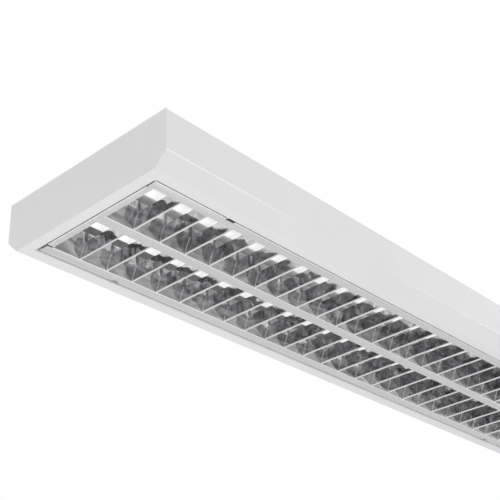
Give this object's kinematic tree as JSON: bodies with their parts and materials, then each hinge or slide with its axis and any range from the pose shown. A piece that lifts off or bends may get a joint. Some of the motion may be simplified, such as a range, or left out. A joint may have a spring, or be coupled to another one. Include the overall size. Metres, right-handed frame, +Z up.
{
  "type": "surface mounted fluorescent fixture",
  "caption": "Long white sheet steel ceiling fixture for two tubular fluorescent lamps, with a hinged double parabolic mirror louvre over the control gear and lamps.",
  "frame": {"origin": "centre of the top face, which lies on the ceiling", "axes": "+Z up into the ceiling, +X along the length, +Y across towards the louvre's hinge side"},
  "size_m": [1.25, 0.3, 0.078],
  "materials": {
    "white_enamel": "white powder coat, satin",
    "mirror_aluminium": "bright anodised mirror",
    "lamp_glass": "glass tube with a white phosphor coat inside",
    "lamp_cap_metal": "plain drawn",
    "contact_brass": "plain",
    "white_plastic": "moulded, semi gloss",
    "starter_plastic": "moulded",
    "ballast_steel": "varnished laminated core",
    "capacitor_can": "moulded",
    "zinc_steel": "zinc plated",
    "spring_steel": "spring steel",
    "grommet_rubber": "matt"
  },
  "bodies": {
    "housing": {"housing_channel": "white_enamel", "front_end_cap": "white_enamel", "rear_end_cap": "white_enamel", "front_lampholder_bracket": "white_enamel", "rear_lampholder_bracket": "white_enamel", "gear_cover": "white_enamel", "near_front_lampholder": "white_plastic", "near_rear_lampholder": "white_plastic", "far_front_lampholder": "white_plastic", "far_rear_lampholder": "white_plastic", "front_ballast": "ballast_steel", "front_ballast_terminal": "white_plastic", "front_starter_socket": "white_plastic", "rear_ballast": "ballast_steel", "rear_ballast_terminal": "white_plastic", "rear_starter_socket": "white_plastic", "end_cap_rivets": "zinc_steel", "bracket_rivets": "zinc_steel", "gear_cover_screws": "zinc_steel", "ballast_screws": "zinc_steel", "earth_screw": "zinc_steel", "capacitor_screw": "zinc_steel", "hinge_brackets": "zinc_steel", "hinge_pins": "zinc_steel", "hinge_rivets": "zinc_steel", "capacitor_clip": "zinc_steel", "catch_springs": "spring_steel", "capacitor": "capacitor_can", "terminal_block": "white_plastic", "terminal_screws": "contact_brass", "cable_grommet": "grommet_rubber"},
    "louvre": {"louvre_side_near": "mirror_aluminium", "louvre_side_far": "mirror_aluminium", "louvre_wall_near": "mirror_aluminium", "louvre_wall_far": "mirror_aluminium", "louvre_spine": "mirror_aluminium", "louvre_front_end": "mirror_aluminium", "louvre_rear_end": "mirror_aluminium", "louvre_blades_near": "mirror_aluminium", "louvre_blades_far": "mirror_aluminium", "louvre_hinge_leaves": "zinc_steel", "louvre_catch_lugs": "zinc_steel"},
    "near_lamp": {"near_lamp_tube": "lamp_glass", "near_lamp_caps": "lamp_cap_metal", "near_lamp_pins": "contact_brass", "near_lamp_rotors": "white_plastic"},
    "far_lamp": {"far_lamp_tube": "lamp_glass", "far_lamp_caps": "lamp_cap_metal", "far_lamp_pins": "contact_brass", "far_lamp_rotors": "white_plastic"},
    "front_starter": {"front_starter": "starter_plastic", "front_starter_contacts": "contact_brass"},
    "rear_starter": {"rear_starter": "starter_plastic", "rear_starter_contacts": "contact_brass"}
  },
  "joints": [
    {"name": "louvre_hinge", "type": "hinge", "parent": "housing", "child": "louvre", "pos_m": [0, 0.1103, -0.0735], "axis": [1, 0, 0], "range_deg": [0, 90]},
    {"name": "near_lamp_turn", "type": "hinge", "parent": "housing", "child": "near_lamp", "pos_m": [0, -0.05215, -0.0355], "axis": [1, 0, 0], "range_deg": [0, 90]},
    {"name": "far_lamp_turn", "type": "hinge", "parent": "housing", "child": "far_lamp", "pos_m": [0, 0.05215, -0.0355], "axis": [1, 0, 0], "range_deg": [0, 90]},
    {"name": "front_starter_turn", "type": "hinge", "parent": "housing", "child": "front_starter", "pos_m": [-0.43, 0, -0.035], "axis": [0, 0, 1], "range_deg": [0, 40]},
    {"name": "rear_starter_turn", "type": "hinge", "parent": "housing", "child": "rear_starter", "pos_m": [0.43, 0, -0.035], "axis": [0, 0, 1], "range_deg": [0, 40]}
  ]
}
